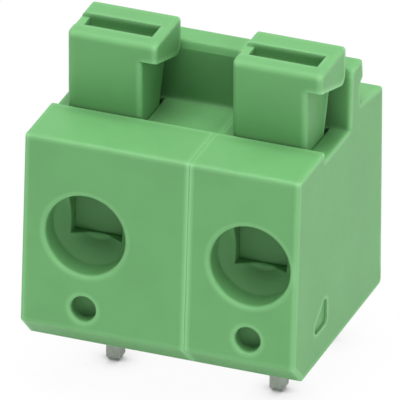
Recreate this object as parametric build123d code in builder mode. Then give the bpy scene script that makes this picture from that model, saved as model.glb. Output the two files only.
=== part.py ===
from build123d import *
import os

os.makedirs("parts", exist_ok=True)

# A two pole spring terminal block for circuit boards, in millimetres.
# The origin is the centre of the left front solder pin at the board surface.
# The wire entries face -Y, the buttons stand up along +Z.

# Grid of the block
grid = 2.54
pitch = 3 * grid
end_module_width = 2 * grid
pin_row_spacing = 2 * grid

# Places across a module, from its left side
pin_from_side = 2.75
entry_from_side = 2.88

# Places back from the front top edge
pin_from_front = 3.75

# Outside of the housing, as depths from the front top edge and heights over the board
body_depth = 10.14
crest_depth = 3.05
crest_height = 9.92
channel_height = 9.5
front_foot_reach = 0.616
front_foot_height = 1.08
foot_chamfer_depth = 0.46
wall_front_depth = 6.12
wall_front_draft = 0.18
wall_bevel_depth = 0.16
wall_bevel_drop = 0.36
wall_thickness = 1.58
wall_back_draft = 0.1
hook_drop = 0.93
hook_reach = 0.38
groove_opening = 0.98
groove_height = 10.18
ledge_back_height = 9.7
crest_round = 0.16
foot_round = 0.14
wall_front_round = 0.14
wall_back_round = 0.16
hook_round = 0.14
ledge_round = 0.16
heel_round = 0.3
end_face_round = 0.12
seam_round = 0.03

# Shallow step across the back of the housing
step_bottom = 0.82
step_height = 1.78
step_recess = 0.08

# Wire entry
entry_radius = 1.85
entry_height = 5.56
entry_depth = 0.7
entry_rim = 0.16
cone_length = 0.9
cone_end_radius = 0.7
window_half_width = 1.2
window_bottom = 4.82
window_top = 6.75

# Round recess under the wire entry
recess_radius = 0.585
recess_height = 2.1
recess_end_depth = 0.08
recess_rim = 0.12

# Chamber
side_wall = 0.62
channel_floor = 0.8
chamber_front_depth = 1.66
foot_well_length = 0.75
shelf_height = 4.3
chamber_round = 0.15
seat_gap = 0.05

# Join between modules
join_back = 3.42
join_bottom = 1.46
join_length = 2.17
join_rise = 1.54
join_round = 0.3
join_recess = 0.12
join_peg = 0.08

# Push button
travel = 2.0
button_gap = 0.03
shaft_from_side = 0.7
shaft_width = 3.45
head_overhang = 0.69
button_front_depth = 3.15
head_gap = 0.03
head_lip = 0.05
head_front_height = 0.89
head_back_height = 1.81
lip_gap = 0.22
head_back_round = 0.4
shaft_back_slope = 0.32
head_front_round = 0.3
head_edge_round = 0.16
head_left_round = 0.2
driver_slot_front = 3.92
driver_slot_width = 1.08
driver_slot_end = 0.48
driver_slot_depth = 0.65
driver_slot_wall = 0.36
driver_slot_wall_drop = 0.2
shaft_bottom = 9.12
bar_width = 0.93
foot_thickness = 0.6
foot_bottom = 4.0
foot_ramp = 0.25
barb_height = 0.7
barb_catch = 0.17
barb_land = 0.2

# Contact strip
strip_width = 2.3
strip_thickness = 0.65
bend_radius = 0.3
base_height = 0.55
roof_underside = 6.4
roof_front_depth = 4.3
pin_size = 0.65
pin_length = 2.5
pin_tip_height = 0.2
pin_tip_taper = 30
pin_slit = 0.1
lug_top = 2.8

# Clamping spring
leaf_thickness = 0.25
leaf_width = 2.1
spring_start_depth = 4.5
spring_loop_radius = 1.0
spring_corner_depth = 8.75
spring_tip_depth = 4.95
spring_gap = 0.02
ear_length = 0.6

# Reach of cutting bodies beyond the front, and tolerance for finding the edges of a side face
cut_reach = 1.2
face_tolerance = 0.0001

# Values that follow from the driving dimensions
front_edge_y = -pin_from_front
wall_back_depth = wall_front_depth + wall_thickness
hook_slope_drop = hook_reach / 2
wall_hook_height = groove_height + groove_opening + hook_slope_drop
wall_height = wall_hook_height + hook_drop
wall_bevel_height = wall_height - wall_bevel_drop
wall_top_depth = wall_front_depth + wall_front_draft + wall_bevel_depth
groove_depth = wall_back_depth - hook_reach
head_back_depth = wall_front_depth - head_gap
lip_back_height = channel_height + travel + lip_gap
button_top = lip_back_height + head_back_height
lip_front_height = button_top - head_front_height
shaft_back_top = head_back_depth - head_lip
chamber_top = channel_height - channel_floor
chamber_width = end_module_width - 2 * side_wall
pin_back_depth = pin_from_front + pin_row_spacing
riser_front_depth = pin_back_depth - strip_thickness / 2
riser_back_depth = pin_back_depth + strip_thickness / 2
chamber_back_depth = riser_back_depth + seat_gap
foot_well_back_depth = chamber_front_depth + foot_well_length
foot_front_depth = chamber_front_depth + button_gap
foot_back_depth = foot_front_depth + foot_thickness
foot_top = window_top
strip_from_side = entry_from_side - strip_width / 2
roof_top = roof_underside + strip_thickness
base_top = base_height + strip_thickness
leaf_top = roof_underside - spring_gap
bar_bottom = leaf_top + spring_gap


def shaft_back(height):
    """Depth of the shaft's leaning back face at a height."""
    return shaft_back_top - shaft_back_slope * (lip_back_height - height)


slot_back_depth = shaft_back(channel_height + travel) + button_gap
bar_back_depth = shaft_back(shaft_bottom)


def side_plane(x):
    """Plane across the block: local x is depth from the front edge, local y is height."""
    return Plane(origin=(x, front_edge_y, 0), x_dir=(0, 1, 0), z_dir=(1, 0, 0))


def front_y(depth):
    """Y of a depth measured from the front top edge."""
    return front_edge_y + depth


def front_depth(height):
    """Depth of the leaning front face at a height."""
    return -front_foot_reach * (crest_height - height) / (crest_height - front_foot_height)


def corner(sketch, depth, height):
    """The sketch corner nearest to a depth and a height on a side plane."""
    target = Vector(depth, height)
    return sketch.vertices().sort_by_distance(target)[0]


def face_edges(part, x):
    """Edges that lie in the side face at x."""
    return part.edges().filter_by_position(Axis.X, x - face_tolerance, x + face_tolerance)


def housing_outline(left):
    """Side outline of a housing module as a closed face."""
    with BuildSketch(side_plane(left)) as outline:
        with BuildLine():
            Polyline(
                (0, crest_height),
                (crest_depth, crest_height),
                (crest_depth, channel_height),
                (wall_front_depth, channel_height),
                (wall_front_depth + wall_front_draft, wall_bevel_height),
                (wall_top_depth, wall_height),
                (wall_back_depth - wall_back_draft, wall_height),
                (wall_back_depth, wall_hook_height),
                (groove_depth, wall_hook_height - hook_slope_drop),
                (groove_depth, groove_height),
                (body_depth, ledge_back_height),
                (body_depth, 0),
                (foot_chamfer_depth, 0),
                (-front_foot_reach, front_foot_height),
                close=True,
            )
        make_face()
        rounds = (
            (0, crest_height, crest_round),
            (-front_foot_reach, front_foot_height, foot_round),
            (wall_top_depth, wall_height, wall_front_round),
            (wall_back_depth - wall_back_draft, wall_height, wall_back_round),
            (wall_back_depth, wall_hook_height, hook_round),
            (body_depth, ledge_back_height, ledge_round),
            (body_depth, 0, heel_round),
        )
        for depth, height, radius in rounds:
            fillet(corner(outline, depth, height), radius)
    return outline.sketch


def join_outline(x, gap):
    """Rounded triangle of the join between two modules, shrunk by a gap."""
    with BuildSketch(side_plane(x)) as outline:
        with BuildLine():
            Polyline(
                (join_back, join_bottom),
                (join_back, join_bottom + join_rise),
                (join_back - join_length, join_bottom),
                close=True,
            )
        make_face()
        fillet(outline.vertices(), join_round)
        if gap > 0:
            offset(amount=-gap)
    return outline.sketch


def build_housing(label, left, width, end_side):
    """One housing module: shell, wire funnel, round recess, chamber and button slot."""
    right = left + width
    entry_x = left + entry_from_side
    with BuildPart() as housing:
        add(housing_outline(left))
        extrude(amount=width, dir=(1, 0, 0))

        # The outer end face is rounded all round, the face at the seam only up the front
        end_x = left if end_side == "left" else right
        seam_x = right if end_side == "left" else left
        fillet(face_edges(housing, end_x), end_face_round)
        seam_edges = face_edges(housing, seam_x).filter_by(GeomType.LINE)
        fillet(seam_edges.sort_by(Axis.Y)[0], seam_round)

        # Step across the back
        step_middle = (left + width / 2, front_y(body_depth), step_bottom + step_height / 2)
        with BuildSketch(Plane(origin=step_middle, x_dir=(1, 0, 0), z_dir=(0, 1, 0))):
            Rectangle(width, step_height)
        extrude(amount=-step_recess, mode=Mode.SUBTRACT)

        # Wire funnel: a round mouth, then a cone down to the window
        funnel_middle = (entry_x, front_edge_y, entry_height)
        with BuildSketch(Plane(origin=funnel_middle, x_dir=(0, 1, 0), z_dir=(1, 0, 0))):
            with BuildLine():
                Polyline(
                    (-cut_reach, 0),
                    (-cut_reach, entry_radius),
                    (entry_depth, entry_radius),
                    (entry_depth + cone_length, cone_end_radius),
                    (entry_depth + cone_length, 0),
                    close=True,
                )
            make_face()
        revolve(axis=Axis(funnel_middle, (0, 1, 0)), mode=Mode.SUBTRACT)

        # Round recess under the funnel
        recess_middle = (entry_x, front_y(-cut_reach), recess_height)
        with BuildSketch(Plane(origin=recess_middle, z_dir=(0, 1, 0))):
            Circle(recess_radius)
        extrude(amount=cut_reach + recess_end_depth, mode=Mode.SUBTRACT)

        # Rounded rims of both holes
        for height, radius in ((entry_height, entry_rim), (recess_height, recess_rim)):
            mouth = Vector(entry_x, front_y(front_depth(height)), height)
            rims = housing.edges().filter_by(GeomType.ELLIPSE)
            fillet(rims.sort_by_distance(mouth)[0], radius)

        # Window from the funnel into the chamber
        window_middle = (entry_x, front_y(entry_depth), (window_bottom + window_top) / 2)
        with BuildSketch(Plane(origin=window_middle, x_dir=(1, 0, 0), z_dir=(0, 1, 0))):
            Rectangle(2 * window_half_width, window_top - window_bottom)
        extrude(amount=chamber_front_depth - entry_depth + seat_gap, mode=Mode.SUBTRACT)

        # Upper chamber for the button's leg and the contact roof
        chamber_x = left + side_wall + chamber_width / 2
        chamber_length = chamber_back_depth - chamber_front_depth
        chamber_y = front_y(chamber_front_depth + chamber_length / 2)
        with BuildSketch(Plane(origin=(chamber_x, chamber_y, shelf_height))) as upper:
            Rectangle(chamber_width, chamber_length)
            fillet(upper.vertices(), chamber_round)
        extrude(amount=chamber_top - shelf_height, mode=Mode.SUBTRACT)

        # Well for the button's foot, open to the board
        well_y = front_y((chamber_front_depth + foot_well_back_depth) / 2)
        with BuildSketch(Plane(origin=(chamber_x, well_y, 0))) as well:
            Rectangle(chamber_width, foot_well_length)
            fillet(well.vertices().group_by(Axis.Y)[0], chamber_round)
        extrude(amount=shelf_height + chamber_round, mode=Mode.SUBTRACT)

        # Seat of the contact strip, open to the board
        seat_width = strip_width + 2 * seat_gap
        seat_front_depth = pin_from_front - strip_thickness / 2 - seat_gap
        seat_length = chamber_back_depth - seat_front_depth
        seat_y = front_y((seat_front_depth + chamber_back_depth) / 2)
        with BuildSketch(Plane(origin=(left + entry_from_side, seat_y, 0))):
            Rectangle(seat_width, seat_length)
        extrude(amount=shelf_height + chamber_round, mode=Mode.SUBTRACT)

        # Slot in the channel floor for the button's shaft
        slot_width = shaft_width + 2 * button_gap
        slot_length = slot_back_depth - crest_depth
        slot_x = left + shaft_from_side + shaft_width / 2
        slot_y = front_y((crest_depth + slot_back_depth) / 2)
        with BuildSketch(Plane(origin=(slot_x, slot_y, chamber_top - chamber_round))):
            Rectangle(slot_width, slot_length)
        extrude(amount=channel_floor + 2 * chamber_round, mode=Mode.SUBTRACT)

        # Recess of the join in the right face, and its peg on a module that has a left neighbour
        add(join_outline(right, 0))
        extrude(amount=join_recess, dir=(-1, 0, 0), mode=Mode.SUBTRACT)
        if end_side == "right":
            add(join_outline(left, button_gap))
            extrude(amount=join_peg, dir=(-1, 0, 0))
    housing.part.label = label
    export_step(housing.part, f"parts/{label}.step")
    return housing.part


def build_button(label, left):
    """Push button: head with a driver slot, shaft, guide bar and foot in front of the window."""
    shaft_left = left + shaft_from_side
    shaft_right = shaft_left + shaft_width
    head_right = shaft_right + head_overhang
    with BuildPart() as button:
        # Shaft and the head over it
        with BuildSketch(side_plane(shaft_left)) as shaft:
            with BuildLine():
                Polyline(
                    (button_front_depth, shaft_bottom),
                    (button_front_depth, button_top),
                    (head_back_depth, button_top),
                    (head_back_depth, lip_back_height),
                    (shaft_back_top, lip_back_height),
                    (shaft_back(shaft_bottom), shaft_bottom),
                    close=True,
                )
            make_face()
        extrude(amount=shaft_width)

        # Overhang of the head to the right, with a sloping underside
        with BuildSketch(side_plane(shaft_right)) as overhang:
            with BuildLine():
                Polyline(
                    (button_front_depth, lip_front_height),
                    (button_front_depth, button_top),
                    (head_back_depth, button_top),
                    (head_back_depth, lip_back_height),
                    close=True,
                )
            make_face()
            fillet(corner(overhang, head_back_depth, lip_back_height), head_back_round)
        extrude(amount=head_overhang)

        # Rounded edges of the head: top left, top front, then the uprights in front
        left_edges = button.edges().group_by(Axis.Z)[-1].filter_by(Axis.Y)
        fillet(left_edges.sort_by(Axis.X)[0], head_left_round)
        front_edges = button.edges().group_by(Axis.Z)[-1].filter_by(Axis.X)
        fillet(front_edges.sort_by(Axis.Y)[0], head_front_round)
        front_uprights = button.edges().filter_by(Axis.Z).group_by(Axis.Y)[0]
        fillet(front_uprights, head_edge_round)

        # Driver slot, with a thin and lower wall at its left end
        slot_left = shaft_left + driver_slot_wall
        slot_right = head_right - driver_slot_end
        slot_y = front_y(driver_slot_front)
        with BuildSketch(Plane(origin=(0, slot_y, 0), x_dir=(1, 0, 0), z_dir=(0, -1, 0))):
            with BuildLine():
                Polyline(
                    (shaft_left, button_top),
                    (shaft_left, button_top - driver_slot_wall_drop),
                    (slot_left, button_top - driver_slot_wall_drop),
                    (slot_left, button_top - driver_slot_depth),
                    (slot_right, button_top - driver_slot_depth),
                    (slot_right, button_top),
                    close=True,
                )
            make_face()
        extrude(amount=-driver_slot_width, mode=Mode.SUBTRACT)

        # Guide bar down the left of the wire, with a stop flange in front and a barb behind
        flange_top = chamber_top - spring_gap
        with BuildSketch(side_plane(shaft_left)):
            with BuildLine():
                Polyline(
                    (foot_front_depth, foot_bottom),
                    (foot_front_depth, flange_top),
                    (button_front_depth, flange_top),
                    (button_front_depth, shaft_bottom),
                    (bar_back_depth, shaft_bottom),
                    (bar_back_depth, flange_top),
                    (slot_back_depth + barb_catch, flange_top),
                    (slot_back_depth + barb_catch, flange_top - barb_land),
                    (bar_back_depth, flange_top - barb_height),
                    (bar_back_depth, bar_bottom),
                    (foot_back_depth, bar_bottom),
                    (foot_back_depth, foot_bottom),
                    close=True,
                )
            make_face()
        extrude(amount=bar_width)

        # Foot across the window, with a ramp for the wire on its top edge
        with BuildSketch(side_plane(shaft_left)) as foot:
            with BuildLine():
                Polyline(
                    (foot_front_depth, foot_bottom),
                    (foot_front_depth, foot_top),
                    (foot_back_depth, foot_top),
                    (foot_back_depth, foot_bottom),
                    close=True,
                )
            make_face()
            fillet(corner(foot, foot_front_depth, foot_top), foot_ramp)
        extrude(amount=shaft_width)
    button.part.label = label
    export_step(button.part, f"parts/{label}.step")
    return button.part


def build_contact(label, left):
    """Bent contact strip: roof, riser and base round the spring, front lugs and two solder pins."""
    strip_left = left + strip_from_side
    pin_x = left + pin_from_side
    outer_bend = bend_radius + strip_thickness
    lug_front_depth = pin_from_front - strip_thickness / 2
    lug_back_depth = pin_from_front + strip_thickness / 2
    with BuildPart() as contact:
        with BuildSketch(side_plane(strip_left)) as strip:
            with BuildLine():
                Polyline(
                    (lug_front_depth, lug_top),
                    (lug_front_depth, base_height),
                    (riser_back_depth, base_height),
                    (riser_back_depth, roof_top),
                    (roof_front_depth, roof_top),
                    (roof_front_depth, roof_underside),
                    (riser_front_depth, roof_underside),
                    (riser_front_depth, base_top),
                    (lug_back_depth, base_top),
                    (lug_back_depth, lug_top),
                    close=True,
                )
            make_face()
            bends = (
                (lug_front_depth, base_height, outer_bend),
                (riser_back_depth, base_height, outer_bend),
                (riser_back_depth, roof_top, outer_bend),
                (riser_front_depth, roof_underside, bend_radius),
                (riser_front_depth, base_top, bend_radius),
                (lug_back_depth, base_top, bend_radius),
            )
            for depth, height, radius in bends:
                fillet(corner(strip, depth, height), radius)
        extrude(amount=strip_width)

        # Gap between the front lugs, where the front pin was bent out
        gap_width = pin_size + 2 * pin_slit
        gap_y = front_y(pin_from_front)
        with BuildSketch(Plane(origin=(pin_x, gap_y, base_top))):
            Rectangle(gap_width, 2 * strip_thickness)
        extrude(amount=lug_top, mode=Mode.SUBTRACT)

        # Slot in the base, where the rear pin was cut free
        cut_length = pin_length + base_height
        cut_y = front_y(riser_front_depth) - cut_length / 2
        with BuildSketch(Plane(origin=(pin_x, cut_y, base_height - seat_gap))):
            Rectangle(gap_width, cut_length)
        extrude(amount=strip_thickness + 2 * seat_gap, mode=Mode.SUBTRACT)

        # Solder pins with tapered tips
        for pin_depth in (pin_from_front, pin_back_depth):
            shank_length = pin_length - pin_tip_height + base_top
            with BuildSketch(Plane(origin=(pin_x, front_y(pin_depth), base_top), z_dir=(0, 0, -1))):
                Rectangle(pin_size, pin_size)
            extrude(amount=shank_length)
            tip_z = base_top - shank_length
            with BuildSketch(Plane(origin=(pin_x, front_y(pin_depth), tip_z), z_dir=(0, 0, -1))):
                Rectangle(pin_size, pin_size)
            extrude(amount=pin_tip_height, taper=pin_tip_taper)
    contact.part.label = label
    export_step(contact.part, f"parts/{label}.step")
    return contact.part


def build_spring(label, left):
    """Clamping spring: fixed arm on the contact base, loop at the back, leaf up to the roof."""
    spring_x = left + entry_from_side - leaf_width / 2
    ear_left = left + shaft_from_side + button_gap
    arm_height = base_top + leaf_thickness / 2
    tip_height = leaf_top - leaf_thickness / 2
    with BuildPart() as spring:
        with BuildSketch(side_plane(spring_x)):
            with BuildLine() as leaf:
                FilletPolyline(
                    (spring_start_depth, arm_height),
                    (spring_corner_depth, arm_height),
                    (spring_tip_depth, tip_height),
                    radius=spring_loop_radius,
                )
            trace(line_width=leaf_thickness)
        extrude(amount=leaf_width)
        # Ear under the button's guide bar
        ear_start = Vector(spring_tip_depth, tip_height)
        leaf_corner = Vector(spring_corner_depth, arm_height)
        ear_end = ear_start + (leaf_corner - ear_start).normalized() * ear_length
        with BuildSketch(side_plane(ear_left)):
            with BuildLine():
                Line(ear_start, ear_end)
            trace(line_width=leaf_thickness)
        extrude(amount=spring_x - ear_left + leaf_width / 2)
    spring.part.label = label
    export_step(spring.part, f"parts/{label}.step")
    return spring.part


left_module = -pin_from_side
right_module = left_module + pitch
build_housing("housing_module_left", left_module, pitch, "left")
build_housing("housing_module_right", right_module, end_module_width, "right")
for side, module in (("left", left_module), ("right", right_module)):
    build_button(f"push_button_{side}", module)
    build_contact(f"contact_strip_{side}", module)
    build_spring(f"clamp_spring_{side}", module)
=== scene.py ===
import math

import bmesh
import bpy
from bpy.props import FloatProperty, FloatVectorProperty, IntProperty, PointerProperty
from bpy.types import Operator, Panel, PropertyGroup
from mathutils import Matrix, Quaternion, Vector


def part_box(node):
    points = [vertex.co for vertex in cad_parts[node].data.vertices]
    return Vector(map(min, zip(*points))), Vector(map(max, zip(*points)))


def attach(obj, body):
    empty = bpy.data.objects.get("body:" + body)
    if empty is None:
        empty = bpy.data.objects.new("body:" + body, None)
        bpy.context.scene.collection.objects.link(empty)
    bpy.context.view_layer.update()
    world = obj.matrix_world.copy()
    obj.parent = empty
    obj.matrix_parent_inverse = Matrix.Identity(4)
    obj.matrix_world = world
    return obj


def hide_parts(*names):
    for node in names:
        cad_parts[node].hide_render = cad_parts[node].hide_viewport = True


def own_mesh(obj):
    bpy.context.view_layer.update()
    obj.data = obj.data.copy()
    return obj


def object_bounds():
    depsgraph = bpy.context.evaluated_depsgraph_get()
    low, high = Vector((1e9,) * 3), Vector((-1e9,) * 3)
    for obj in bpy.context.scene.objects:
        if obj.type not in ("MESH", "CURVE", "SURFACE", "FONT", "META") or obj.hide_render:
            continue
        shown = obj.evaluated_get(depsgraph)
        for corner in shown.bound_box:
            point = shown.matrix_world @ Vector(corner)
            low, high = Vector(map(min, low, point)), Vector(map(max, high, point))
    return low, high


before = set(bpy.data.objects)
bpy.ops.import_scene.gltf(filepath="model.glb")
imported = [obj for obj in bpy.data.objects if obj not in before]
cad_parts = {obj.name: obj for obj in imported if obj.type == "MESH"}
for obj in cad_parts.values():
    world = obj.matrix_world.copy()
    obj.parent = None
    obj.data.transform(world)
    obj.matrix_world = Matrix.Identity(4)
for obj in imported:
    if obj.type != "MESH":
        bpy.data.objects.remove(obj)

bl_info = {
    "name": "Spring Terminal Block",
    "version": (1, 0, 0),
    "blender": (4, 5, 0),
    "location": "View3D > Sidebar > Terminal",
    "description": "Finishes a two pole push button terminal block and sets it on a plain stage",
    "category": "Object",
}

MM = 0.001
SIDES = ("left", "right")
cad_low, cad_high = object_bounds()
spring_low, spring_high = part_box("clamp_spring_left")

WHITE = (1.0, 1.0, 1.0, 1.0)
# Rays that a material sends out at each spot to feel its surroundings.
FEELER_RAYS = 8

# Pairs are the two readings between which an effect sets in.
# Noise reads from 0 to 1 and mostly stays near its middle.
TONE_NOISE = (0.3, 0.7)
ROUGHNESS_NOISE = (0.25, 0.75)
SPECK_NOISE = (0.62, 0.8)
# How open the surroundings of a spot are: 0 when walled in, 1 on a free face.
# Painted shade in hollows sets in between these readings.
PAINTED_SHADE_OPENNESS = (0.34, 0.89)
# Painted highlight on thin edges sets in between these readings.
PAINTED_HIGHLIGHT_OPENNESS = (0.3, 0.75)
SOFT_CORNER_OPENNESS = (0.45, 0.62)
# How solid the plastic is behind a spot: about 0.5 on a square edge, 1 away from every edge.
# Painted shade in hollows keeps off edges between these readings.
PAINTED_SHADE_SOLIDITY = (0.5, 0.9)
# Painted highlight on thin edges sets in between these readings.
PAINTED_HIGHLIGHT_SOLIDITY = (0.5, 1.0)
# How far up a face looks: 0 on an upright face, 1 on a level one that looks up.
LEVEL_FACE = (0.6, 0.95)

# Least share of the painted highlight on an edge in a hollow and on a level face.
LEAST_PAINTED_HIGHLIGHT = 0.3
CLOUD_CONTRAST = 0.035
SPECK_CONTRAST = 0.07
SPECK_SHARE = 0.35
SPECK_WIDTH_IN_GRAINS = 4
ROUGHNESS_SWING = 0.03

SPOT_WIDTH_IN_STREAKS = 10
STREAK_DEPTH_PER_WIDTH = 0.05
STREAK_STRETCH = 0.06
DULL_SPOT = 0.88
BRIGHT_SPOT = 1.08
STREAK_SMOOTHER = 0.07
STREAK_ROUGHER = 0.09

FIRST_LEAN = math.radians(53.0)
LEAN_ROUNDS = 30
EAR_OVERLAP = 0.25

# Each lamp's turn to the right of the front and its height in degrees, and its distance in metres.
LAMP_PLACES = {"top_lamp": (0, 84, 0.4), "right_lamp": (66, 16, 0.5), "left_lamp": (-55, 14, 0.5)}
LAMP_SIZE = 0.3
FLOOR_REACH = 3.0
# Painted contact shadow on the floor: the readings it spans and its darkest glow.
CONTACT_OPENNESS = (0.25, 1.0)
DARKEST_CONTACT = 0.3


class PlasticSettings(PropertyGroup):
    """Moulded green polyamide of the housing and the buttons."""

    housing_colour: FloatVectorProperty(
        name="Housing Colour", description="Base colour of the housing modules",
        subtype="COLOR", size=3, min=0, max=1, default=(0.142, 0.385, 0.14))
    button_colour: FloatVectorProperty(
        name="Button Colour", description="Base colour of the push buttons",
        subtype="COLOR", size=3, min=0, max=1, default=(0.142, 0.385, 0.14))
    roughness: FloatProperty(
        name="Roughness", description="Mean roughness of the moulded skin",
        min=0, max=1, default=0.47)
    grain_size: FloatProperty(
        name="Grain Size", description="Size of the spark eroded mould texture",
        subtype="DISTANCE", unit="LENGTH", min=1e-6, default=0.04 * MM)
    grain_depth: FloatProperty(
        name="Grain Depth", description="Height of the mould texture",
        subtype="DISTANCE", unit="LENGTH", min=0, default=0.0004 * MM)
    flow_size: FloatProperty(
        name="Flow Mark Size", description="Size of the faint clouds left by the melt",
        subtype="DISTANCE", unit="LENGTH", min=1e-6, default=2.6 * MM)
    edge_soften: FloatProperty(
        name="Edge Softening", description="Radius over which the shading rolls round an outer edge",
        subtype="DISTANCE", unit="LENGTH", min=0, default=0.06 * MM)
    hollow_soften: FloatProperty(
        name="Hollow Softening",
        description="Radius over which the shading rolls round a corner in a hollow",
        subtype="DISTANCE", unit="LENGTH", min=0, default=0.3 * MM)
    # Reach of the inward feeler that finds thin edges, for the painted highlight and to keep the painted
    # shade off rims.
    painted_highlight_reach: FloatProperty(
        name="Edge Reach", description="How far thin edges of the plastic shine paler",
        subtype="DISTANCE", unit="LENGTH", min=0, default=0.3 * MM)
    # Colour of the painted highlight along thin edges.
    painted_highlight_colour: FloatVectorProperty(
        name="Edge Colour", description="Paler colour of the plastic along its thin edges",
        subtype="COLOR", size=3, min=0, max=1, default=(0.28, 0.62, 0.28))
    # Reach of the feeler that finds hollows for the painted shade.
    painted_shade_reach: FloatProperty(
        name="Hollow Reach", description="How near other walls make a hollow look deeper",
        subtype="DISTANCE", unit="LENGTH", min=0, default=4.0 * MM)
    # Painted shade: factors on the housing's and the buttons' colours in a deep hollow.
    housing_painted_shade: FloatProperty(
        name="Housing Hollow", description="Factor on the housing's colour in a deep hollow",
        min=0, max=1, default=0.69)
    button_painted_shade: FloatProperty(
        name="Button Hollow", description="Factor on the buttons' colour in a deep hollow",
        min=0, max=1, default=0.78)


class MetalSettings(PropertyGroup):
    """Tinned contact strip and bright spring strip."""

    tin_colour: FloatVectorProperty(
        name="Tin Colour", description="Colour of the tin plate",
        subtype="COLOR", size=3, min=0, max=1, default=(0.5, 0.54, 0.49))
    steel_colour: FloatVectorProperty(
        name="Steel Colour", description="Colour of the spring strip",
        subtype="COLOR", size=3, min=0, max=1, default=(0.42, 0.42, 0.43))
    tin_roughness: FloatProperty(
        name="Tin Roughness", description="Mean roughness of the tin plate", min=0, max=1, default=0.36)
    steel_roughness: FloatProperty(
        name="Steel Roughness", description="Mean roughness of the spring strip",
        min=0, max=1, default=0.27)
    streak_size: FloatProperty(
        name="Streak Size", description="Width of the rolling and stamping streaks",
        subtype="DISTANCE", unit="LENGTH", min=1e-6, default=0.03 * MM)


class SpringSettings(PropertyGroup):
    """Bent leaf of the clamping springs, as depths and heights in the side view."""

    thickness: FloatProperty(
        name="Leaf Thickness", description="Thickness of the spring strip",
        subtype="DISTANCE", unit="LENGTH", min=1e-6, default=0.25 * MM)
    width: FloatProperty(
        name="Leaf Width", description="Width of the leaf without its ear",
        subtype="DISTANCE", unit="LENGTH", min=1e-6, default=2.1 * MM)
    loop_radius: FloatProperty(
        name="Loop Radius", description="Bend radius at the middle of the strip",
        subtype="DISTANCE", unit="LENGTH", min=1e-6, default=1.0 * MM)
    corner_depth: FloatProperty(
        name="Corner Depth", description="How far behind the arm's end the two straight legs would meet",
        subtype="DISTANCE", unit="LENGTH", min=1e-6, default=4.25 * MM)
    tip_depth: FloatProperty(
        name="Tip Depth", description="How far the leaf's tip lies behind the arm's end",
        subtype="DISTANCE", unit="LENGTH", min=1e-6, default=0.45 * MM)
    ear_length: FloatProperty(
        name="Ear Length", description="Length along the leaf of the ear that the button presses",
        subtype="DISTANCE", unit="LENGTH", min=1e-6, default=0.6 * MM)
    edge_round: FloatProperty(
        name="Edge Round", description="Rounding of the strip's edges",
        subtype="DISTANCE", unit="LENGTH", min=0, default=0.03 * MM)
    bend_steps: IntProperty(
        name="Bend Steps", description="Rows of faces round the loop", min=4, default=40)


class StageSettings(PropertyGroup):
    """Camera, lamps and floor."""

    azimuth: FloatProperty(
        name="Azimuth", description="Camera's turn to the right of the wire entries",
        subtype="ANGLE", unit="ROTATION", default=math.radians(21.05))
    elevation: FloatProperty(
        name="Elevation", description="Camera's height over the horizon",
        subtype="ANGLE", unit="ROTATION", default=math.radians(28.26))
    roll: FloatProperty(
        name="Roll", description="Turn of the camera about its line of sight",
        subtype="ANGLE", unit="ROTATION", default=0.003)
    distance: FloatProperty(
        name="Distance", description="From the camera to the block",
        subtype="DISTANCE", unit="LENGTH", min=1e-3, default=0.75)
    frame_width: FloatProperty(
        name="Frame Width", description="Width of the picture at the block",
        subtype="DISTANCE", unit="LENGTH", min=1e-6, default=17.33 * MM)
    aim: FloatVectorProperty(
        name="Aim", description="Point that the middle of the picture shows",
        subtype="TRANSLATION", unit="LENGTH", size=3, default=(3.648 * MM, 0.687 * MM, 5.685 * MM))
    top_power: FloatProperty(
        name="Top Power", description="Power of the soft lamp overhead",
        unit="POWER", min=0, default=1.91)
    right_power: FloatProperty(
        name="Right Power", description="Power of the soft lamp at the right",
        unit="POWER", min=0, default=0.7)
    left_power: FloatProperty(
        name="Left Power", description="Power of the soft lamp at the left",
        unit="POWER", min=0, default=0.13)
    sky_strength: FloatProperty(
        name="Sky Strength", description="Even light from all round", min=0, default=0.26)
    floor_colour: FloatVectorProperty(
        name="Floor Colour", description="Colour of the plain floor",
        subtype="COLOR", size=3, min=0, max=1, default=(0.9, 0.9, 0.9))
    floor_lift: FloatProperty(
        name="Floor Lift", description="How far the floor is lifted to white before the camera",
        subtype="FACTOR", min=0, max=1, default=0.96)
    mirror_lift: FloatProperty(
        name="Mirror Lift", description="How far the floor is lifted to white in reflections",
        subtype="FACTOR", min=0, max=1, default=0.36)
    # Reach of the painted contact shadow round the pins' tips.
    contact_shadow: FloatProperty(
        name="Contact Shadow", description="Reach of the soft shadow round the pins' tips",
        subtype="DISTANCE", unit="LENGTH", min=0, default=1.6 * MM)


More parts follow.
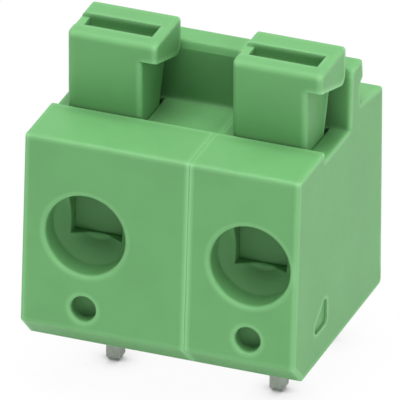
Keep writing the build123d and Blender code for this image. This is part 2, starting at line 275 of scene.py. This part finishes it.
class NodeSketch:
    """A node tree under construction."""

    def __init__(self, tree):
        self.tree = tree

    def node(self, kind, inputs=(), **settings):
        """Adds a node, with values or links for its inputs by name or number."""
        made = self.tree.nodes.new(kind)
        for key, value in settings.items():
            setattr(made, key, value)
        for key, value in dict(inputs).items():
            self.feed(made.inputs[key], value)
        return made

    def feed(self, socket, value):
        """Links a socket to another one, or sets its value."""
        if isinstance(value, bpy.types.NodeSocket):
            self.tree.links.new(value, socket)
        else:
            socket.default_value = value

    def noise(self, place, size, detail=2.0, roughness=0.5):
        """Noise whose cells are about size wide, as a value from 0 to 1."""
        inputs = {"Vector": place, "Scale": 1 / size, "Detail": detail, "Roughness": roughness}
        return self.node("ShaderNodeTexNoise", inputs).outputs["Fac"]

    def spread(self, value, between, low_out, high_out, curve="SMOOTHSTEP"):
        """Maps a value between two readings to another range without running over."""
        inputs = {"Value": value, "From Min": between[0], "From Max": between[1],
                  "To Min": low_out, "To Max": high_out}
        return self.node("ShaderNodeMapRange", inputs, interpolation_type=curve).outputs["Result"]

    def product(self, first, second):
        """One value times another."""
        return self.node("ShaderNodeMath", {0: first, 1: second}, operation="MULTIPLY").outputs[0]

    def larger(self, first, second):
        """The larger of two values."""
        return self.node("ShaderNodeMath", {0: first, 1: second}, operation="MAXIMUM").outputs[0]

    def blend_colours(self, amount, first, second, blend="MIX"):
        """Blends a second colour over the first."""
        # A colour mixer takes its two colours at its inputs 6 and 7.
        inputs = {"Factor": amount, 6: first, 7: second}
        return self.node("ShaderNodeMix", inputs, data_type="RGBA", blend_type=blend).outputs[2]

    def feel(self, distance, inside=False):
        """Share of the feeler rays that meet nothing within a distance, outwards or into the piece."""
        return self.node("ShaderNodeAmbientOcclusion", {"Distance": distance}, inside=inside,
                         only_local=inside, samples=FEELER_RAYS).outputs["AO"]

    def blend_shaders(self, amount, first, second):
        """Blends a second shader over the first."""
        return self.node("ShaderNodeMixShader", {0: amount, 1: first, 2: second}).outputs[0]


class MaterialSketch(NodeSketch):
    """A new node material with its shader and its output."""

    def __init__(self, name):
        self.material = bpy.data.materials.new(name)
        self.material.use_nodes = True
        super().__init__(self.material.node_tree)
        self.shader = self.tree.nodes["Principled BSDF"]
        self.output = self.tree.nodes["Material Output"]


def shade(colour, factor):
    """A colour made lighter or darker, with full alpha."""
    return tuple(min(1.0, channel * factor) for channel in colour) + (1.0,)


def moulded_polyamide(name, colour, hollow, settings):
    """Green glass filled polyamide: satin skin, fine spark eroded grain and faint flow clouds, with painted
    shade in its hollows and a painted highlight along its thin edges.
    """
    sketch = MaterialSketch(name)
    place = sketch.node("ShaderNodeTexCoord").outputs["Object"]
    clouds = sketch.noise(place, settings.flow_size, detail=3.0, roughness=0.55)
    specks = sketch.noise(place, settings.grain_size * SPECK_WIDTH_IN_GRAINS, detail=2.0, roughness=0.6)
    grain = sketch.noise(place, settings.grain_size, detail=1.0, roughness=0.5)
    openness = sketch.feel(settings.painted_shade_reach)
    solidity = sketch.feel(settings.painted_highlight_reach, inside=True)
    normal = sketch.node("ShaderNodeNewGeometry").outputs["Normal"]
    facing_up = sketch.node("ShaderNodeSeparateXYZ", {"Vector": normal}).outputs["Z"]

    cloudy = sketch.blend_colours(
        sketch.spread(clouds, TONE_NOISE, 0.0, 1.0),
        shade(colour, 1 - CLOUD_CONTRAST), shade(colour, 1 + CLOUD_CONTRAST))
    speckled = sketch.blend_colours(
        sketch.spread(specks, SPECK_NOISE, 0.0, SPECK_SHARE), cloudy, shade(colour, 1 + SPECK_CONTRAST))
    # Painted shade: hollows found by the ambient occlusion reading are painted darker, but not along their
    # rims.
    depth = sketch.product(
        sketch.spread(openness, PAINTED_SHADE_OPENNESS, 1.0, 0.0),
        sketch.spread(solidity, PAINTED_SHADE_SOLIDITY, 0.0, 1.0))
    with_painted_shade = sketch.blend_colours(depth, speckled, (hollow, hollow, hollow, 1.0), blend="MULTIPLY")
    # Painted highlight: thin edges are painted paler, less so in hollows and on level faces.
    thin = sketch.product(
        sketch.spread(solidity, PAINTED_HIGHLIGHT_SOLIDITY, 1.0, 0.0, curve="LINEAR"),
        sketch.spread(openness, PAINTED_HIGHLIGHT_OPENNESS, LEAST_PAINTED_HIGHLIGHT, 1.0))
    painted_highlight = sketch.product(thin, sketch.spread(facing_up, LEVEL_FACE, 1.0, LEAST_PAINTED_HIGHLIGHT))
    with_painted_highlight = sketch.blend_colours(painted_highlight, with_painted_shade, (*settings.painted_highlight_colour, 1.0))
    rough = sketch.spread(
        specks, ROUGHNESS_NOISE, settings.roughness - ROUGHNESS_SWING, settings.roughness + ROUGHNESS_SWING)
    soften = sketch.spread(
        openness, SOFT_CORNER_OPENNESS, settings.hollow_soften, settings.edge_soften)
    rolled = sketch.node("ShaderNodeBevel", {"Radius": soften}, samples=FEELER_RAYS)
    bump = sketch.node("ShaderNodeBump", {
        "Strength": 0.6, "Distance": settings.grain_depth, "Height": grain,
        "Normal": rolled.outputs["Normal"]})
    sketch.feed(sketch.shader.inputs["Base Color"], with_painted_highlight)
    sketch.feed(sketch.shader.inputs["Roughness"], rough)
    sketch.feed(sketch.shader.inputs["Normal"], bump.outputs["Normal"])
    sketch.feed(sketch.shader.inputs["IOR"], 1.45)
    sketch.feed(sketch.shader.inputs["Specular IOR Level"], 0.28)
    return sketch.material


def rolled_metal(name, colour, settings, along, mean_roughness):
    """Metal strip with fine streaks along one axis and small dull spots."""
    sketch = MaterialSketch(name)
    place = sketch.node("ShaderNodeTexCoord").outputs["Object"]
    stretch = [1.0, 1.0, 1.0]
    stretch["XYZ".index(along)] = STREAK_STRETCH
    drawn = sketch.node("ShaderNodeMapping", {"Vector": place, "Scale": stretch}).outputs["Vector"]
    streaks = sketch.noise(drawn, settings.streak_size, detail=3.0, roughness=0.6)
    spots = sketch.noise(
        place, settings.streak_size * SPOT_WIDTH_IN_STREAKS, detail=3.0, roughness=0.6)

    tone = sketch.blend_colours(
        sketch.spread(spots, TONE_NOISE, 0.0, 1.0),
        shade(colour, DULL_SPOT), shade(colour, BRIGHT_SPOT))
    rough = sketch.spread(
        streaks, TONE_NOISE, mean_roughness - STREAK_SMOOTHER, mean_roughness + STREAK_ROUGHER)
    bump = sketch.node("ShaderNodeBump", {
        "Strength": 0.35, "Distance": settings.streak_size * STREAK_DEPTH_PER_WIDTH,
        "Height": streaks})
    sketch.feed(sketch.shader.inputs["Base Color"], tone)
    sketch.feed(sketch.shader.inputs["Metallic"], 1.0)
    sketch.feed(sketch.shader.inputs["Roughness"], rough)
    sketch.feed(sketch.shader.inputs["Normal"], bump.outputs["Normal"])
    return sketch.material


def finish_node(node_name, material):
    """Gives a node of the frame its material."""
    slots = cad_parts[node_name].material_slots
    if not slots:
        raise RuntimeError(f"{node_name} has no material slot")
    for slot in slots:
        slot.material = material


def leaf_path(settings):
    """Middle line of the spring strip in its side view: arm, loop and leaf, as depth and height."""
    half = settings.thickness / 2
    arm_height = spring_low.z + half
    lean_run = settings.corner_depth - settings.tip_depth
    # The leaf's square cut tip reaches the top of the node's box, so its height and lean are
    # worked out in turn until they agree.
    lean = FIRST_LEAN
    for _ in range(LEAN_ROUNDS):
        tip_height = spring_high.z - half * math.cos(lean)
        lean = math.atan2(tip_height - arm_height, lean_run)
    start = Vector((spring_low.y, arm_height))
    corner = Vector((start.x + settings.corner_depth, arm_height))
    tip = Vector((start.x + settings.tip_depth, tip_height))
    reach = settings.loop_radius / math.tan(lean / 2)
    centre = Vector((corner.x - reach, arm_height + settings.loop_radius))
    points = [start]
    turn = math.pi - lean
    for step in range(settings.bend_steps + 1):
        angle = -math.pi / 2 + turn * step / settings.bend_steps
        points.append(centre + settings.loop_radius * Vector((math.cos(angle), math.sin(angle))))
    points.append(tip)
    return points


def strip_normals(points):
    """Unit normals of a polyline, each square to the line between its point's neighbours."""
    normals = []
    for index in range(len(points)):
        before = points[max(index - 1, 0)]
        after = points[min(index + 1, len(points) - 1)]
        along = (after - before).normalized()
        normals.append(Vector((-along.y, along.x)))
    return normals


def bend_strip(points, thickness, x_left, x_right, mesh_name):
    """A flat strip bent along a side view path, as a closed mesh with four long sides."""
    normals = strip_normals(points)
    mesh = bpy.data.meshes.new(mesh_name)
    shell = bmesh.new()
    rings = []
    for point, normal in zip(points, normals):
        ring = []
        for x, side in ((x_left, -1), (x_right, -1), (x_right, 1), (x_left, 1)):
            edge = point + normal * (side * thickness / 2)
            ring.append(shell.verts.new((x, edge.x, edge.y)))
        rings.append(ring)
    for first, second in zip(rings, rings[1:]):
        for corner in range(4):
            following = (corner + 1) % 4
            shell.faces.new((first[corner], first[following], second[following], second[corner]))
    shell.faces.new(tuple(reversed(rings[0])))
    shell.faces.new(tuple(rings[-1]))
    bmesh.ops.recalc_face_normals(shell, faces=shell.faces)
    shell.to_mesh(mesh)
    shell.free()
    return mesh


class TERMINAL_OT_finish_housings(Operator):
    """Give both housing modules their moulded green skin"""

    bl_idname = "terminal.finish_housings"
    bl_label = "Finish Housings"

    def execute(self, context):
        settings = context.scene.terminal_plastic
        skin = moulded_polyamide(
            "housing_polyamide", settings.housing_colour, settings.housing_painted_shade, settings)
        for side in SIDES:
            finish_node(f"housing_module_{side}", skin)
        return {"FINISHED"}


class TERMINAL_OT_finish_buttons(Operator):
    """Give both push buttons their moulded green skin"""

    bl_idname = "terminal.finish_buttons"
    bl_label = "Finish Buttons"

    def execute(self, context):
        settings = context.scene.terminal_plastic
        skin = moulded_polyamide(
            "button_polyamide", settings.button_colour, settings.button_painted_shade, settings)
        for side in SIDES:
            finish_node(f"push_button_{side}", skin)
        return {"FINISHED"}


class TERMINAL_OT_plate_contacts(Operator):
    """Give the contact strips and their solder pins a dull tin plate"""

    bl_idname = "terminal.plate_contacts"
    bl_label = "Plate Contacts"

    def execute(self, context):
        settings = context.scene.terminal_metal
        plate = rolled_metal("tin_plate", settings.tin_colour, settings, "Z", settings.tin_roughness)
        for side in SIDES:
            finish_node(f"contact_strip_{side}", plate)
        return {"FINISHED"}


class TERMINAL_OT_bend_springs(Operator):
    """Bend the two clamping springs from bright strip, each with the ear that its button presses"""

    bl_idname = "terminal.bend_springs"
    bl_label = "Bend Springs"

    def execute(self, context):
        settings = context.scene.terminal_spring
        metal = context.scene.terminal_metal
        steel = rolled_metal("spring_strip", metal.steel_colour, metal, "Y", metal.steel_roughness)
        path = leaf_path(settings)
        for side in SIDES:
            self.bend(context.scene, side, path, settings, steel)
        return {"FINISHED"}

    def bend(self, scene, side, path, settings, steel):
        """Bends one spring with its ear."""
        node = f"clamp_spring_{side}"
        low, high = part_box(node)
        leaf_left = high.x - settings.width
        leaf = bend_strip(path, settings.thickness, leaf_left, high.x, f"clamping_leaf_{side}")
        leaf.materials.append(steel)
        tip = path[-1]
        along = (path[-2] - tip).normalized()
        ear_path = [tip, tip + along * settings.ear_length]
        ear_right = leaf_left + settings.width * EAR_OVERLAP
        ear_mesh = bend_strip(ear_path, settings.thickness, low.x, ear_right, "ear")
        shell = bmesh.new()
        shell.from_mesh(leaf)
        shell.from_mesh(ear_mesh)
        shell.to_mesh(leaf)
        shell.free()
        bpy.data.meshes.remove(ear_mesh)
        spring = bpy.data.objects.new(f"clamping_leaf_{side}", leaf)
        scene.collection.objects.link(spring)
        rounding = spring.modifiers.new("edge_round", "BEVEL")
        rounding.width = settings.edge_round
        rounding.segments = 2
        rounding.limit_method = "ANGLE"
        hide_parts(node)
        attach(spring, "block")
        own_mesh(spring)


class TERMINAL_OT_set_stage(Operator):
    """Set the floor, the soft lamps, the even sky and the camera"""

    bl_idname = "terminal.set_stage"
    bl_label = "Set Stage"

    def execute(self, context):
        scene = context.scene
        settings = scene.terminal_stage
        self.floor(scene, settings)
        self.sky(scene, settings)
        self.lamp(scene, "top_lamp", settings.top_power, settings)
        self.lamp(scene, "right_lamp", settings.right_power, settings)
        self.lamp(scene, "left_lamp", settings.left_power, settings)
        self.camera(scene, settings)
        scene.view_settings.view_transform = "Standard"
        return {"FINISHED"}

    def floor(self, scene, settings):
        """A plain floor that looks nearly white, with a soft shadow round the pins' tips painted into its
        glow and a faint share of its real shadow.
        """
        sketch = MaterialSketch("stage_floor")
        sketch.tree.nodes.remove(sketch.shader)
        diffuse = sketch.node("ShaderNodeBsdfDiffuse", {"Color": (*settings.floor_colour, 1.0)})
        # Painted contact shadow: the floor's glow dims where the ambient occlusion reading finds the pins
        # near.
        nearness = sketch.node("ShaderNodeAmbientOcclusion", {"Distance": settings.contact_shadow})
        painted_contact_shadow = sketch.spread(nearness.outputs["AO"], CONTACT_OPENNESS, DARKEST_CONTACT, 1.0)
        glow = sketch.node("ShaderNodeEmission", {"Color": WHITE, "Strength": painted_contact_shadow})
        rays = sketch.node("ShaderNodeLightPath").outputs
        mirrored = sketch.larger(rays["Is Glossy Ray"], rays["Is Transmission Ray"])
        seen = sketch.larger(sketch.product(rays["Is Camera Ray"], settings.floor_lift),
                             sketch.product(mirrored, settings.mirror_lift))
        both = sketch.blend_shaders(seen, diffuse.outputs[0], glow.outputs[0])
        sketch.feed(sketch.output.inputs["Surface"], both)
        mesh = bpy.data.meshes.new("stage_floor")
        corners = ((-1, -1), (1, -1), (1, 1), (-1, 1))
        mesh.from_pydata(
            [(x * FLOOR_REACH, y * FLOOR_REACH, cad_low.z) for x, y in corners], [], [(0, 1, 2, 3)])
        mesh.materials.append(sketch.material)
        floor = bpy.data.objects.new("stage_floor", mesh)
        scene.collection.objects.link(floor)

    def sky(self, scene, settings):
        """An even sky that lights softly, and is white to the camera and in reflections."""
        world = bpy.data.worlds.new("even_sky")
        scene.world = world
        world.use_nodes = True
        sketch = NodeSketch(world.node_tree)
        sketch.tree.nodes.clear()
        lit = sketch.node("ShaderNodeBackground", {"Color": WHITE, "Strength": settings.sky_strength})
        seen = sketch.node("ShaderNodeBackground", {"Color": WHITE, "Strength": 1.0})
        rays = sketch.node("ShaderNodeLightPath").outputs
        mirrored = sketch.larger(rays["Is Glossy Ray"], rays["Is Transmission Ray"])
        both = sketch.blend_shaders(
            sketch.larger(rays["Is Camera Ray"], mirrored), lit.outputs[0], seen.outputs[0])
        sketch.node("ShaderNodeOutputWorld", {"Surface": both})

    def lamp(self, scene, name, power, settings):
        """A square soft lamp that faces the block."""
        light = bpy.data.lights.new(name, "AREA")
        light.shape = "SQUARE"
        light.size = LAMP_SIZE
        light.energy = power
        lamp = bpy.data.objects.new(name, light)
        scene.collection.objects.link(lamp)
        azimuth, elevation, distance = LAMP_PLACES[name]
        away = direction(math.radians(azimuth), math.radians(elevation))
        lamp.location = Vector(settings.aim) + away * distance
        lamp.rotation_mode = "QUATERNION"
        lamp.rotation_quaternion = away.to_track_quat("Z", "Y")

    def camera(self, scene, settings):
        """A camera at the picture's angle, whose frame is as wide as set at the block."""
        data = bpy.data.cameras.new("camera")
        camera = bpy.data.objects.new("camera", data)
        scene.collection.objects.link(camera)
        away = direction(settings.azimuth, settings.elevation)
        camera.location = Vector(settings.aim) + away * settings.distance
        camera.rotation_mode = "QUATERNION"
        turn = Quaternion((0, 0, 1), settings.roll)
        camera.rotation_quaternion = away.to_track_quat("Z", "Y") @ turn
        data.sensor_width = 36.0
        data.lens = data.sensor_width * settings.distance / settings.frame_width
        data.clip_start = 0.01
        data.clip_end = 10.0
        scene.camera = camera


def direction(azimuth, elevation):
    """Unit vector from the block towards a turn to the right of its front and a height."""
    level = math.cos(elevation)
    return Vector((math.sin(azimuth) * level, -math.cos(azimuth) * level, math.sin(elevation)))


class TERMINAL_PT_sidebar(Panel):
    """Lists the steps that finish the terminal block"""

    bl_idname = "TERMINAL_PT_sidebar"
    bl_label = "Terminal Block"
    bl_space_type = "VIEW_3D"
    bl_region_type = "UI"
    bl_category = "Terminal"

    def draw(self, context):
        scene = context.scene
        for step, settings in (
            (TERMINAL_OT_finish_housings, scene.terminal_plastic),
            (TERMINAL_OT_finish_buttons, None),
            (TERMINAL_OT_plate_contacts, scene.terminal_metal),
            (TERMINAL_OT_bend_springs, scene.terminal_spring),
            (TERMINAL_OT_set_stage, scene.terminal_stage),
        ):
            box = self.layout.box()
            box.operator(step.bl_idname)
            if settings is not None:
                for name in settings.__annotations__:
                    box.prop(settings, name)


GROUPS = {
    "terminal_plastic": PlasticSettings,
    "terminal_metal": MetalSettings,
    "terminal_spring": SpringSettings,
    "terminal_stage": StageSettings,
}
STEPS = (
    TERMINAL_OT_finish_housings,
    TERMINAL_OT_finish_buttons,
    TERMINAL_OT_plate_contacts,
    TERMINAL_OT_bend_springs,
    TERMINAL_OT_set_stage,
)


def register():
    for group in GROUPS.values():
        bpy.utils.register_class(group)
    for step in STEPS:
        bpy.utils.register_class(step)
    bpy.utils.register_class(TERMINAL_PT_sidebar)
    for name, group in GROUPS.items():
        setattr(bpy.types.Scene, name, PointerProperty(type=group))


def unregister():
    for name in GROUPS:
        delattr(bpy.types.Scene, name)
    bpy.utils.unregister_class(TERMINAL_PT_sidebar)
    for step in reversed(STEPS):
        bpy.utils.unregister_class(step)
    for group in reversed(list(GROUPS.values())):
        bpy.utils.unregister_class(group)


def main():
    register()
    bpy.ops.terminal.finish_housings()
    bpy.ops.terminal.finish_buttons()
    bpy.ops.terminal.plate_contacts()
    bpy.ops.terminal.bend_springs()
    bpy.ops.terminal.set_stage()


if __name__ == "__main__":
    main()
